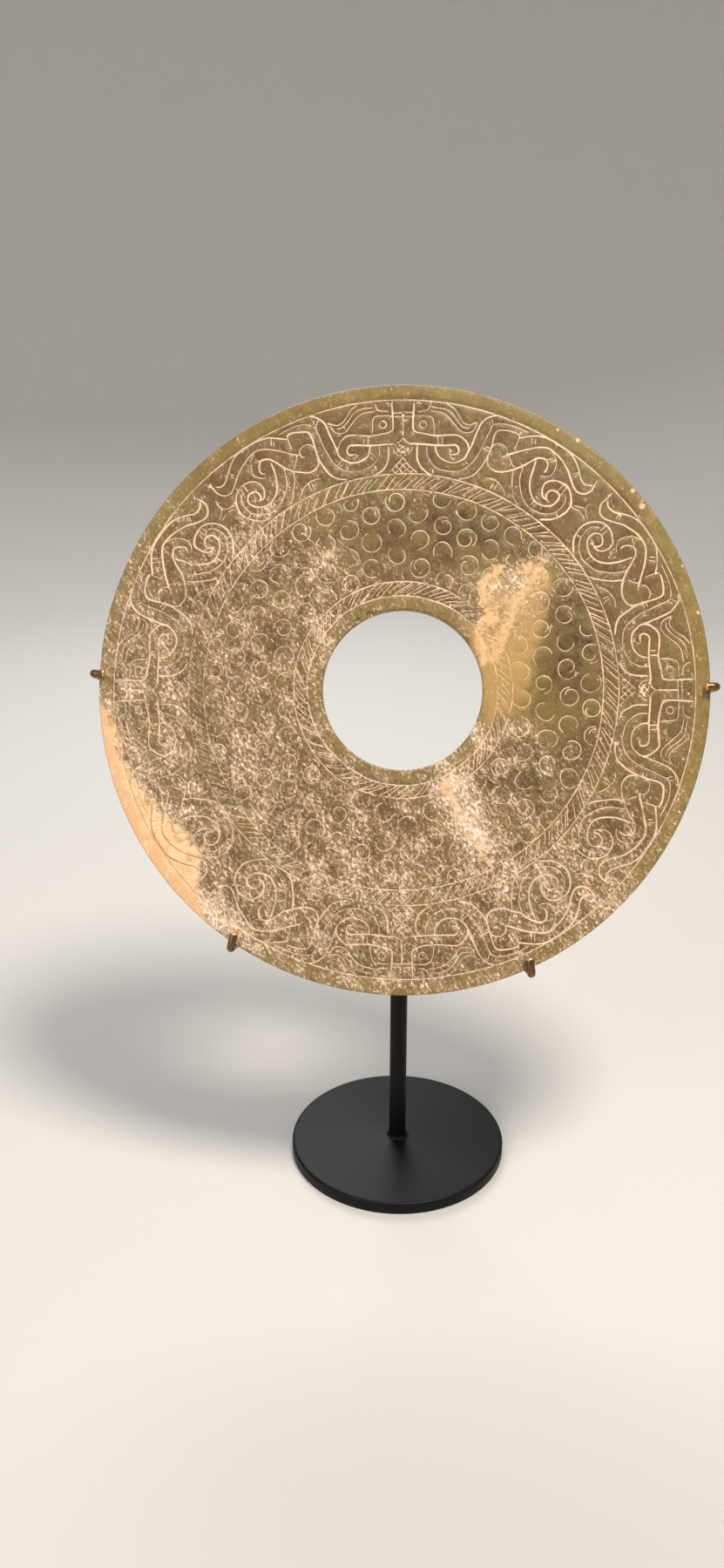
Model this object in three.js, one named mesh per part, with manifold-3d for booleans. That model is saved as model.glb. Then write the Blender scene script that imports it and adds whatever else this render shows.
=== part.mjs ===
// A carved jade bi disc on its display mount: a flat ring of jade with plain rims, four animal masks whose
// bodies scroll along a band, two twisted rope borders and a field of low grains. Four brass claws grip its
// edge and branch from a collar, which sits on a black steel post with a round foot.
// Millimetres, +Z up. The origin is the middle of the foot's underside. The carved face looks towards -Y
// and leans back.

import * as THREE from 'three';
import { mergeVertices } from 'three/addons/utils/BufferGeometryUtils.js';
import Module from 'manifold-3d';

const wasm = await Module();
wasm.setup();

// Disc
const DISC_RADIUS = 115;
const DISC_THICKNESS = 5;
const HOLE_RADIUS = 30.2;
const DISC_CHAMFER = 0.6;
const DISC_SIDES = 48;
const DISC_LEAN = THREE.MathUtils.degToRad(20);
const FACE_CENTRE = new THREE.Vector3(0, 2.5, 202);

// Bands of the carved face, as radii
const RIM_LINE = 109.2;
const OUTER_ROPE = { inner: 75.3, outer: 81.1, strands: 52, advance: 3.8 };
const INNER_ROPE = { inner: 35.8, outer: 41.0, strands: 28, advance: 9 };

// Carved lines
const LINE_DEPTH = 0.55;
const RING_WIDTH = 1.2;
const WIDE_LINE = 1.2;
const STRAND_LINE = 1.0;
const STRAND_MARGIN = 1.1;
const CUTTER_RISE = 0.35;

// Grains in the field between the two rope borders
const GRAIN_PITCH = 10.2;
const GRAIN_RADIUS = 3.6;
const GRAIN_RISE = 0.6;
const GRAIN_SUNK = 0.15;
const GRAIN_SIDES = 6;
const GRAIN_MARGIN = 2;
const GRAIN_TURN = THREE.MathUtils.degToRad(3);

// Claw mount
const GAP = 0.3;
const ROD_RADIUS = 1.55;
const ROD_SIDES = 7;
const BEND_RADIUS = 1.9;
const BEND_STEPS = 2;
const COLLAR_RADIUS = 5.2;
const COLLAR_SIDES = 12;
const COLLAR_BASE = 142;
const COLLAR_SHOULDER = 161;
const COLLAR_DOME = { radius: 3.7, height: 1.8, rise: 2.6 };
const SOCKET_DEPTH = 13;
const HUB_HEIGHT = 158;
// Each claw's place on the rim and the way its tip points, in degrees clockwise from the top, and how far
// the tip reaches over the carved face.
const CLAWS = [
  { rim: 89, points: 270, reach: 2.6 },
  { rim: 155, points: 351, reach: 4.4 },
  { rim: 213, points: 13, reach: 4.4 },
  { rim: 272.5, points: 90, reach: 2.6 },
];

// Post and foot
const POST_RADIUS = 3.5;
const POST_SIDES = 14;
const POST_CHAMFER = 0.5;
const FOOT_RADIUS = 45;
const FOOT_THICKNESS = 5;
const FOOT_CHAMFER = 0.8;
const FOOT_SIDES = 36;

// Mask band: one half of a mask with its scrolling body. A point is degrees from the mask's middle line and
// radius. Each stroke is a smooth line through its points, cut in a number of straight steps.
const MASKS = 4;
const HALF_MASK = {
  jaw: { steps: 5, through: [[2.2, 108.2], [2.2, 99.2], [5, 96.6], [11, 97.9], [15.4, 93]] },
  mouth: { steps: 5, through: [[0, 93.4], [4, 92.6], [11.5, 93.9], [13.2, 92], [11.7, 90.5]] },
  eyeBox: { steps: 2, through: [[3.2, 103], [5.8, 102.6], [6.8, 98]] },
  brow: { steps: 4, through: [[5.5, 105.6], [9.5, 104.2], [12.5, 100], [14.6, 101.8]] },
  bodyInside: {
    steps: 6,
    through: [[7.8, 91], [9.3, 88.2], [12.5, 87.6], [15.3, 92.2], [15.9, 100], [19, 108.2]],
  },
  bodyRoot: { steps: 2, through: [[3.4, 91], [4, 85.6], [7.2, 82.6]] },
  bodyOutside: { steps: 6, through: [[14.6, 82.8], [18.5, 85.7], [20, 93.7], [20, 102.6], [23.8, 105.2]] },
  crestTop: { steps: 5, through: [[25.2, 105], [28.5, 107.8], [35, 107.8], [39.5, 104], [42.6, 104.4]] },
  crestBottom: {
    steps: 6,
    through: [[23.7, 96.4], [27.5, 101.8], [31.6, 105], [37, 102.4], [41, 98.9], [43.3, 101.6]],
  },
  leg: {
    steps: 5,
    through: [[21.2, 91.6], [22.4, 89.5], [25, 90.5], [29, 97.8], [31.2, 101.2], [32.9, 97]],
  },
  tailRoot: { steps: 2, through: [[27, 91], [28.5, 86.3], [31, 82.6]] },
  tailInside: {
    steps: 6,
    through: [[30.4, 97], [31.2, 93.2], [35.5, 86.5], [39.2, 91.2], [37.4, 93.4], [36.8, 91]],
  },
  tailOutside: { steps: 6, through: [[35.4, 90.4], [34.8, 94], [37.6, 98], [42.3, 91.4], [38.8, 82.8]] },
};
const NOSE = { from: 103.2, to: 93.6 };
const EYE = { angle: 4.35, radius: 100.2, size: 1.5, sides: 6 };

const jade = new THREE.MeshStandardMaterial({ color: 0xa08560, roughness: 0.45, metalness: 0 });
const brass = new THREE.MeshStandardMaterial({ color: 0x8a6a48, roughness: 0.4, metalness: 1 });
const blackPaint = new THREE.MeshStandardMaterial({ color: 0x08080b, roughness: 0.5, metalness: 0 });

// Points of one geometry closer than this are one point.
const SAME_POINT = 1e-4;

const Y_TO_Z = new THREE.Matrix4().set(1, 0, 0, 0, 0, 0, -1, 0, 0, 1, 0, 0, 0, 0, 0, 1);

// A closed geometry as a solid that can be joined and cut.
function solidOf(geometry) {
  geometry.deleteAttribute('normal');
  geometry.deleteAttribute('uv');
  const { attributes, index } = mergeVertices(geometry, SAME_POINT);
  return new wasm.Manifold(
    new wasm.Mesh({ numProp: 3, vertProperties: attributes.position.array, triVerts: index.array }),
  );
}

function joined(solids) {
  return solids.reduce((whole, next) => whole.add(next));
}

function meshOf(solid, name, material) {
  const { vertProperties, triVerts } = solid.getMesh();
  const geometry = new THREE.BufferGeometry();
  geometry.setAttribute('position', new THREE.BufferAttribute(vertProperties, 3));
  geometry.setIndex(new THREE.BufferAttribute(triVerts, 1));
  geometry.computeVertexNormals();
  const mesh = new THREE.Mesh(geometry, material);
  mesh.name = name;
  return mesh;
}

// A turned solid about Z, from [radius, height] points that start and end on the axis or close.
function turned(profile, sides) {
  const points = profile.map(([radius, height]) => new THREE.Vector2(radius, height));
  return solidOf(new THREE.LatheGeometry(points, sides).applyMatrix4(Y_TO_Z));
}

// A point in the disc's plane, clockwise from the top as the carved face is seen.
function onDisc(degrees, radius, height = 0) {
  const angle = THREE.MathUtils.degToRad(degrees);
  return new THREE.Vector3(radius * Math.sin(angle), radius * Math.cos(angle), height);
}

// A V-shaped cutter whose point runs along a line in the disc's face, with upright sides above the face.
function cutterAlong(line, width, steps) {
  const section = new THREE.Shape([
    new THREE.Vector2(-CUTTER_RISE, -width / 2),
    new THREE.Vector2(0, -width / 2),
    new THREE.Vector2(LINE_DEPTH, 0),
    new THREE.Vector2(0, width / 2),
    new THREE.Vector2(-CUTTER_RISE, width / 2),
  ]);
  return solidOf(new THREE.ExtrudeGeometry(section, { steps, extrudePath: line, bevelEnabled: false }));
}

// The blank: a ring with chamfered edges, three ring lines and a grain field sunk between two steps.
function discBlank() {
  const ringLine = (radius) => [
    [radius + RING_WIDTH / 2, 0],
    [radius, -LINE_DEPTH],
    [radius - RING_WIDTH / 2, 0],
  ];
  const ringStep = (radius, outside, inside) => [
    [radius + RING_WIDTH / 2, outside],
    [radius - RING_WIDTH / 2, inside],
  ];
  const outerEdge = DISC_RADIUS - DISC_CHAMFER;
  const holeEdge = HOLE_RADIUS + DISC_CHAMFER;
  const profile = [
    [DISC_RADIUS, -DISC_THICKNESS + DISC_CHAMFER],
    [DISC_RADIUS, -DISC_CHAMFER],
    [outerEdge, 0],
    ...ringLine(RIM_LINE),
    ...ringLine(OUTER_ROPE.outer),
    ...ringStep(OUTER_ROPE.inner, 0, -GRAIN_RISE),
    ...ringStep(INNER_ROPE.outer, -GRAIN_RISE, 0),
    ...ringLine(INNER_ROPE.inner),
    [holeEdge, 0],
    [HOLE_RADIUS, -DISC_CHAMFER],
    [HOLE_RADIUS, -DISC_THICKNESS + DISC_CHAMFER],
    [holeEdge, -DISC_THICKNESS],
    [outerEdge, -DISC_THICKNESS],
  ];
  return turned([...profile, profile[0]], DISC_SIDES);
}

// Slanting cuts that make a band between two ring lines look like a twisted rope.
function ropeCutters({ inner, outer, strands, advance }) {
  return Array.from({ length: strands }, (_, strand) => {
    const angle = (strand * 360) / strands;
    const line = new THREE.LineCurve3(
      onDisc(angle, inner + STRAND_MARGIN),
      onDisc(angle + advance, outer - STRAND_MARGIN),
    );
    return cutterAlong(line, STRAND_LINE, 1);
  });
}

// The strokes of one mask, on both sides of its middle line, with its nose and eyes.
function maskCutters(middle) {
  const cutters = [];
  for (const side of [-1, 1]) {
    for (const { steps, through } of Object.values(HALF_MASK)) {
      const points = through.map(([angle, radius]) => onDisc(middle + side * angle, radius));
      cutters.push(cutterAlong(new THREE.CatmullRomCurve3(points), WIDE_LINE, steps));
    }
    const depth = LINE_DEPTH + CUTTER_RISE;
    const eye = new THREE.ConeGeometry(EYE.size * (depth / LINE_DEPTH), depth, EYE.sides);
    const place = onDisc(middle + side * EYE.angle, EYE.radius, CUTTER_RISE - depth / 2);
    cutters.push(solidOf(eye.rotateX(-Math.PI / 2).translate(...place)));
  }
  const nose = new THREE.LineCurve3(onDisc(middle, NOSE.from), onDisc(middle, NOSE.to));
  cutters.push(cutterAlong(nose, WIDE_LINE, 1));
  return cutters;
}

// Low pointed grains on a triangular grid, trimmed where the field's ring lines cut them.
function grains() {
  const fieldOutside = OUTER_ROPE.inner - RING_WIDTH / 2;
  const fieldInside = INNER_ROPE.outer + RING_WIDTH / 2;
  const height = GRAIN_RISE + GRAIN_SUNK;
  const radius = (GRAIN_RADIUS * height) / GRAIN_RISE;
  const columnPitch = GRAIN_PITCH * Math.sin(Math.PI / 3);
  const columns = Math.ceil(fieldOutside / columnPitch);
  const rows = Math.ceil(fieldOutside / GRAIN_PITCH);
  const solids = [];
  for (let column = -columns; column <= columns; column++) {
    for (let row = -rows; row <= rows; row++) {
      const x = column * columnPitch;
      const y = (row + (column % 2 === 0 ? 0 : 0.5)) * GRAIN_PITCH;
      const distance = Math.hypot(x, y);
      if (distance < fieldInside + GRAIN_MARGIN || distance > fieldOutside - GRAIN_MARGIN) continue;
      const grain = new THREE.ConeGeometry(radius, height, GRAIN_SIDES).rotateX(Math.PI / 2);
      grain.translate(x, y, -height / 2).rotateZ(GRAIN_TURN);
      solids.push(solidOf(grain));
    }
  }
  const field = turned(
    [
      [fieldOutside, -height],
      [fieldOutside, 0],
      [fieldInside, 0],
      [fieldInside, -height],
      [fieldOutside, -height],
    ],
    DISC_SIDES,
  );
  return joined(solids).intersect(field);
}

function jadeDisc() {
  const cutters = [...ropeCutters(OUTER_ROPE), ...ropeCutters(INNER_ROPE)];
  for (let mask = 0; mask < MASKS; mask++) {
    cutters.push(...maskCutters((mask * 360) / MASKS));
  }
  return meshOf(discBlank().add(grains()).subtract(joined(cutters)), 'jade_disc', jade);
}

// The middle line of a bent rod: one step for each straight stretch and a few for each rounded bend.
class BentRodLine extends THREE.Curve {
  constructor(corners) {
    super();
    this.stations = [corners[0]];
    for (let i = 1; i < corners.length - 1; i++) {
      const corner = corners[i];
      const before = corners[i - 1].clone().sub(corner).setLength(BEND_RADIUS).add(corner);
      const after = corners[i + 1].clone().sub(corner).setLength(BEND_RADIUS).add(corner);
      const bend = new THREE.QuadraticBezierCurve3(before, corner, after);
      this.stations.push(...bend.getPoints(BEND_STEPS));
    }
    this.stations.push(corners.at(-1));
    this.steps = this.stations.length - 1;
  }

  getPointAt(share) {
    return this.stations[Math.round(share * this.steps)].clone();
  }

  getTangentAt(share, tangent = new THREE.Vector3()) {
    const here = Math.round(share * this.steps);
    const before = this.stations[Math.max(here - 1, 0)];
    const after = this.stations[Math.min(here + 1, this.steps)];
    return tangent.copy(after).sub(before).normalize();
  }
}

function rodSection() {
  const points = Array.from({ length: ROD_SIDES }, (_, side) => {
    const angle = ((side + 0.5) * 2 * Math.PI) / ROD_SIDES;
    return new THREE.Vector2(ROD_RADIUS * Math.cos(angle), ROD_RADIUS * Math.sin(angle));
  });
  return new THREE.Shape(points);
}

// Four rods behind the disc, each bent round its edge to a short tip over the carved face, and the collar
// that they branch from. The rods lie in the disc's own frame and the collar stands upright.
function mountClaws(discFrame) {
  const behind = -DISC_THICKNESS - GAP - ROD_RADIUS;
  const inFront = GAP + ROD_RADIUS;
  const intoDisc = discFrame.clone().invert();
  const hubPoint = new THREE.Vector3(0, 0, HUB_HEIGHT).applyMatrix4(intoDisc);
  hubPoint.z = behind;
  const rods = CLAWS.map(({ rim, points, reach }) => {
    const outside = onDisc(rim, DISC_RADIUS + GAP + ROD_RADIUS);
    const back = outside.clone().setZ(behind);
    const front = outside.clone().setZ(inFront);
    const tip = onDisc(points, reach + GAP + ROD_RADIUS).add(front);
    const line = new BentRodLine([hubPoint, back, front, tip]);
    const options = { steps: line.steps, extrudePath: line, bevelEnabled: false };
    const rod = new THREE.ExtrudeGeometry(rodSection(), options);
    return solidOf(rod.applyMatrix4(discFrame));
  });
  const socket = POST_RADIUS + GAP;
  const collar = turned(
    [
      [0, COLLAR_BASE + SOCKET_DEPTH],
      [socket, COLLAR_BASE + SOCKET_DEPTH],
      [socket, COLLAR_BASE],
      [COLLAR_RADIUS, COLLAR_BASE],
      [COLLAR_RADIUS, COLLAR_SHOULDER],
      [COLLAR_DOME.radius, COLLAR_SHOULDER + COLLAR_DOME.height],
      [0, COLLAR_SHOULDER + COLLAR_DOME.rise],
    ],
    COLLAR_SIDES,
  );
  return meshOf(joined([collar, ...rods]), 'mount_claws', brass);
}

function supportPost() {
  const postTop = COLLAR_BASE + SOCKET_DEPTH - GAP;
  const foot = turned(
    [
      [0, 0],
      [FOOT_RADIUS, 0],
      [FOOT_RADIUS, FOOT_THICKNESS - FOOT_CHAMFER],
      [FOOT_RADIUS - FOOT_CHAMFER, FOOT_THICKNESS],
      [0, FOOT_THICKNESS],
    ],
    FOOT_SIDES,
  );
  const post = turned(
    [
      [0, FOOT_THICKNESS / 2],
      [POST_RADIUS, FOOT_THICKNESS / 2],
      [POST_RADIUS, postTop - POST_CHAMFER],
      [POST_RADIUS - POST_CHAMFER, postTop],
      [0, postTop],
    ],
    POST_SIDES,
  );
  return meshOf(foot.add(post), 'support_post', blackPaint);
}

const leaning = new THREE.Group();
leaning.position.copy(FACE_CENTRE);
leaning.rotation.x = Math.PI / 2 - DISC_LEAN;
leaning.updateMatrix();
leaning.add(jadeDisc());

const biDisc = new THREE.Group();
biDisc.add(leaning, mountClaws(leaning.matrix), supportPost());

export default biDisc;
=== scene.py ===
"""A carved jade bi disc on its display mount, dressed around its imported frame.

The disc becomes one fine mesh: a point for every stretch of every carved line, joined into triangles and
cut to depth. Sizes are millimetres, in the disc's own plane as its carved face is seen, until a mesh is
made.
"""
import math
from dataclasses import dataclass
from functools import partial

import bpy
import numpy as np
from mathutils import Euler, Matrix, Vector, geometry, kdtree


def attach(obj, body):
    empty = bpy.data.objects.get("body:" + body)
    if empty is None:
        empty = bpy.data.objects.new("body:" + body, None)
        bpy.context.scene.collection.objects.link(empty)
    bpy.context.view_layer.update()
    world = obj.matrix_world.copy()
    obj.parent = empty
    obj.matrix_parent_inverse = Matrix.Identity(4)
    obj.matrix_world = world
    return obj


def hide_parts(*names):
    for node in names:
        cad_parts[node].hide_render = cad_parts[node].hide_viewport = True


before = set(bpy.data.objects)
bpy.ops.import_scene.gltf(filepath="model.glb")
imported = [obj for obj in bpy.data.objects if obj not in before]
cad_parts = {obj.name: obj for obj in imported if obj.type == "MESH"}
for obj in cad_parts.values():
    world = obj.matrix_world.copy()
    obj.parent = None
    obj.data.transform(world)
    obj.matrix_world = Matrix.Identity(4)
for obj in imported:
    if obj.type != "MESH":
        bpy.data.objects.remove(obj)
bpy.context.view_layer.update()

MM = 0.001
TINY = 1e-6
rng = np.random.default_rng(7)

# Disc
DISC_RADIUS = 115.0
DISC_THICKNESS = 5.0
HOLE_RADIUS = 30.2
EDGE_ROUND = 0.7
EDGE_BULGE = 1.08
EDGE_STEPS = 4
DISC_LEAN = math.radians(20)
FACE_CENTRE = Vector((0, 2.5, 202.0)) * MM

# The disc's mesh: points round its two edges, and the spacing of those between the carved lines, with how
# far they are moved and kept from the lines as shares of it
RIM_STATIONS = 720
HOLE_STATIONS = 240
FRONT_SPACING = 1.5
BACK_SPACING = 2.2
FILL_JITTER = 0.25
FILL_GAP = 0.7
# Points of the carved lines: the closest that two lie, and that one lies to an edge; rings of points in a
# chip or speck, as shares of its size; and the angle from which an edge stays sharp
CROWDED = 0.2
CLEAR_OF_EDGE = 0.45
SPOT_RINGS = (0.3, 0.6, 0.9, 1.2)
SPOT_DEGREES = np.arange(0, 360, 30)
CREASE = math.radians(32)

# Bands of the carved face, as radii
RIM_LINE = 109.2
OUTER_ROPE = {"inner": 75.3, "outer": 81.1, "strands": 206, "advance": 3.8}
INNER_ROPE = {"inner": 35.8, "outer": 41.0, "strands": 104, "advance": 9.0}
RING_LINES = (RIM_LINE, OUTER_ROPE["outer"], OUTER_ROPE["inner"], INNER_ROPE["outer"], INNER_ROPE["inner"])

# Carved lines: width, depth and how full of pale deposit they are
WIDE = {"width": 0.95, "depth": 0.28, "deposit": 1.0}
FINE = {"width": 0.62, "depth": 0.16, "deposit": 0.9}
RING = {"width": 0.85, "depth": 0.2, "deposit": 0.9}
STRAND = {"width": 0.56, "depth": 0.15, "deposit": 0.9}
CURL = {"width": 0.66, "depth": 0.13, "deposit": 0.85}

# How lines are cut: spacing of their points, the half width from which they get points down their sides,
# the length in which an end runs out, how wide it stays there, and the length in which the deposit changes
STATION = 0.85
BROAD_CUT = 0.45
RUN_OUT = 1.1
BLUNT_END = 0.35
PATCHY = 2.6

# How uneven the hand is: its shake, each line's width, depth and deposit, the rings' waves as count and
# size, and each rope strand's place, slant and shortfall
HAND = 0.1
WIDTH_VARIES = (0.9, 1.12)
DEPTH_VARIES = (0.85, 1.1)
DEPOSIT_VARIES = (0.6, 1.15)
RING_WOBBLE = 0.35
RING_WAVES = ((2, 0.5), (3, 0.4), (5, 0.3), (9, 0.2), (17, 0.12))
STRAND_PLACE = (-0.35, 0.35)
STRAND_SLANT = (0.8, 1.2)
STRAND_SHORT = (0, 0.7)

# Grains in the field between the two rope borders, and how it sinks in a step inside the ring lines
GRAIN_PITCH = 10.2
GRAIN_RADIUS = 3.55
GRAIN_TURN = math.radians(3)
GRAIN_RISE = 0.14
GRAIN_SHIFT = 0.25
GRAIN_MARGIN = 0.8
FIELD_SINK = 0.18
STEP_INSIDE = 0.6
STEP_OUTSIDE = 0.2

# Curls round the grains: turns of an open and of a hooked one, the share that are hooked, how far in a hook
# closes, where along the curl it starts, how much size and roundness vary, and the fewest points of a curl
# that a ring line may leave
OPEN_TURNS = (0.6, 0.9)
HOOKED_TURNS = (1.0, 1.4)
HOOKED_SHARE = 0.4
HOOK = 2.3
HOOK_START = 0.6
HOOK_BEND = 1.4
CURL_SIZE = (0.9, 1.04)
CURL_WAVE = 0.22
CURL_WAVES = (1, 2)
CURL_POINTS = 40
CURL_MARGIN = 0.4
FEWEST_POINTS = 4

# Mask band: one half of a mask with its scrolling body, as degrees from the mask's middle line and radius
MASKS = 4
FIRST_MASK = -0.5
WIDE_STROKES = {
    "crown_and_jaw": [(2.2, 108.6), (2.2, 98.9), (2.9, 97.3), (4.5, 96.8), (7.5, 96.5), (10.5, 97.5),
        (12.5, 98), (14, 96.6), (15, 94.9), (15.4, 92.9)],
    "mouth": [(1.6, 92.7), (3.4, 92.7), (7.5, 92.9), (10.5, 93.6), (12, 94.1), (12.9, 93.4), (13.2, 92),
        (12.7, 90.9), (11.6, 90.6)],
    "body_inside": [(7.6, 92.7), (8, 90.3), (9, 88.6), (10.5, 87.6), (12.5, 87.6), (14, 88.8),
        (14.8, 90.3), (15.3, 92), (15.6, 95.5), (15.9, 100), (16.3, 104), (17, 106.4), (18, 108.1),
        (19, 108.8)],
    "body_root": [(3.4, 92), (3.6, 87.4), (4.5, 84.5), (5.8, 82.8), (7.5, 81.7)],
    "body_outside": [(14.5, 81.9), (17, 83.4), (18.5, 85.7), (19.5, 89.7), (20, 93.7), (19.9, 97.8),
        (19.8, 101.2), (20.1, 103.5), (21.5, 104.7), (23.5, 105.5), (24.5, 105.2)],
    "crest_top": [(24.7, 104.1), (26, 105.6), (28, 107.7), (29.5, 108.7), (31.5, 109), (35, 108.7),
        (37, 107.4), (39, 105), (40, 103.5), (41, 102.9), (42, 103.2), (42.9, 104.7)],
    "crest_bottom": [(23.7, 96.4), (25.5, 98.9), (27.5, 101.8), (29.5, 104.5), (31, 105.7),
        (32.5, 105.7), (34.5, 104.8), (37, 102.9), (39, 100.4), (40.5, 99), (41.7, 99), (42.8, 100.3),
        (43.3, 102.4), (43.1, 105.8)],
    "leg": [(20, 93.7), (20.5, 90.9), (21.8, 89.5), (23.3, 89.4), (25, 90.5), (26.5, 92.3), (28, 94.9),
        (29, 97.8), (30, 100.4), (31, 101.5), (31.8, 101.7), (32.7, 100.4), (33.2, 98.3), (32.8, 96.8)],
    "tail_inside": [(30.1, 99.5), (30.4, 96.6), (30.9, 93.2), (32, 89.7), (33.5, 87.4), (35.5, 86.5),
        (37.5, 87.2), (39, 89.1), (39.4, 91.4), (39, 93.2), (38, 94), (36.9, 93.4), (36.2, 92),
        (36.4, 90.3), (37, 89.7)],
    "tail_outside": [(37.2, 89.5), (36, 89.4), (35, 90.9), (34.6, 93.2), (34.9, 95.5), (36, 97.2),
        (37.5, 98), (39, 98), (40.5, 96.8), (41.8, 94.3), (42.4, 91.4), (42.3, 88.6), (41.5, 85.7),
        (40, 83.4), (38.5, 81.9)],
    "tail_root": [(26.7, 92), (27.3, 89.1), (28.5, 86.3), (30, 83.4), (31.5, 81.7)],
}
FINE_STROKES = {
    "nose": [(0, 103), (0, 95.2)],
    "lip": [(0, 95), (0.6, 93.5), (1.7, 92.7)],
    "crown_bar": [(0, 104.4), (2.2, 104.4)],
    "crown_base": [(0, 103), (2.2, 103)],
    "mouth_spur": [(11.1, 91.1), (11.5, 89.7), (12.3, 88.8)],
    "eye_box": [(2.4, 103.2), (4.5, 103.5), (5.8, 103.2), (6.4, 101.8), (6.8, 98.9), (7, 96.9)],
    "ear": [(5.5, 108.6), (5.3, 106.4), (4.5, 105.2), (2.8, 105)],
    "ear_hook": [(2.5, 107.5), (2.9, 108.3), (3.8, 107.5)],
    "brow_top": [(9, 108.7), (10.3, 107.5), (11.5, 105.2), (12.5, 103.5), (13.5, 102.7), (14.5, 103),
        (15.5, 104.4)],
    "brow_middle": [(6, 107), (8.5, 106.9), (10, 105.8), (11.5, 103.2), (12.5, 101.8), (13.5, 101.2),
        (14.5, 101.6)],
    "brow_bottom": [(5.5, 105.6), (8, 105.2), (9.5, 104), (11, 101.8), (12.5, 99.8), (13.5, 99.5),
        (14.5, 99.9), (15.1, 101.2), (15.5, 104.6)],
    "body_middle": [(5.5, 92.3), (5.8, 89.1), (7, 86.3), (8.5, 84.8), (11, 84.1), (13.5, 84.5),
        (15.5, 86.3), (17, 89.7), (17.8, 93.7), (18.2, 97.8), (18.4, 102.4), (18.8, 105), (20, 106.5),
        (22.5, 107.4), (26.2, 107.4)],
    "crest_end": [(24.5, 105.8), (24.8, 102.4), (24.9, 99.5)],
    "curl": [(20.1, 97.2), (20.8, 98.9), (22, 99.5), (23.2, 98.6), (23.7, 96.9), (23.4, 95.5),
        (22.7, 95.2)],
    "heel": [(24.2, 97.2), (25, 95.2), (26.2, 93.4)],
    "hook": [(32, 105.5), (33.3, 104.1), (34.3, 101.8), (34.7, 98.9), (34.3, 96.9), (33.3, 95.7),
        (32.5, 95.3)],
    "tail_middle": [(28.2, 94.9), (28.8, 90.9), (30, 88), (32, 85.1), (34.5, 83.5), (36.3, 83.3),
        (38.5, 84.5), (40.2, 86.8), (40.9, 89.7), (40.7, 93.2), (39.7, 95.2), (39.3, 95.7)],
    "hump": [(21, 85.3), (22.5, 86), (24.5, 85.7), (26.5, 84.3), (28, 82)],
    "star_wing": [(42.6, 94.3), (43.9, 95.2), (45, 96.6)],
    "star_stem": [(45, 96.6), (45, 99.1)],
    "star_foot": [(42.8, 93.2), (43.9, 93.8), (45, 94.1)],
    "chin": [(0, 88.2), (1.2, 88.6), (2.1, 90), (2.3, 92)],
    "chin_inside": [(0, 89.4), (0.9, 89.7), (1.5, 91)],
    "chin_net_low": [(-0.9, 88.6), (0.4, 90), (1.9, 91.6)],
    "chin_net_high": [(-1.7, 89.6), (-0.4, 91), (0.7, 92.4)],
}
# Short strokes across a ribbon, from one edge to the other
TICKS = [
    [(7.8, 96.4), (8.1, 93.2)], [(8.8, 96.4), (9.1, 93.4)], [(7.2, 84.5), (6.8, 82.8)],
    [(7.9, 84.3), (7.6, 82.6)], [(14.9, 89.2), (16.1, 88.1)], [(14.7, 88.2), (15.7, 87.2)],
    [(17.7, 106.4), (18.5, 104.1)], [(18.1, 107.2), (18.8, 105.3)], [(18.5, 96.8), (19.8, 96.4)],
    [(18.5, 95.5), (20.2, 95.2)], [(27.7, 107), (28.5, 104.3)], [(27.2, 105.8), (28, 103.5)],
    [(38.7, 104.7), (38, 102.4)], [(39.1, 104.3), (38.5, 101.8)], [(32.8, 103.5), (32, 101.8)],
    [(33.5, 103.2), (32.7, 101.8)], [(38, 97.8), (38, 94.3)], [(39, 97.8), (38.9, 94.3)],
    [(34.6, 86.3), (34.5, 84)], [(35.3, 86.3), (35.4, 84)], [(40.7, 88), (42, 87.1)],
    [(28.7, 86.8), (29.5, 87.9)], [(23.8, 85.3), (23.5, 81.9)], [(24.5, 85.3), (24.5, 81.9)],
]
PUPIL = {"angle": 4.35, "radius": 100.2, "size": 1.35, "sides": 12}
BEARD = {"tip": 87.7, "base": 81.7, "spread": 4.0, "lines": 3, "bow_at": 0.4, "bow": 0.48}

# Chips in the edges: degrees, radius, height above the face and size
CHIPS = [
    (-24, 30.6, 0.5, 1.9), (-19, 30.1, 0.2, 1.4), (-33, 31.0, 0.6, 1.3), (52, 30.2, 0.3, 1.2),
    (63, 115.3, 0.2, 1.1), (57, 115.5, 0.4, 1.3), (287, 115.4, 0.3, 1.2), (300, 115.5, 0.5, 1.4),
    (118, 115.5, 0.4, 1.2), (171, 30.0, 0.2, 1.0),
]

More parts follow.
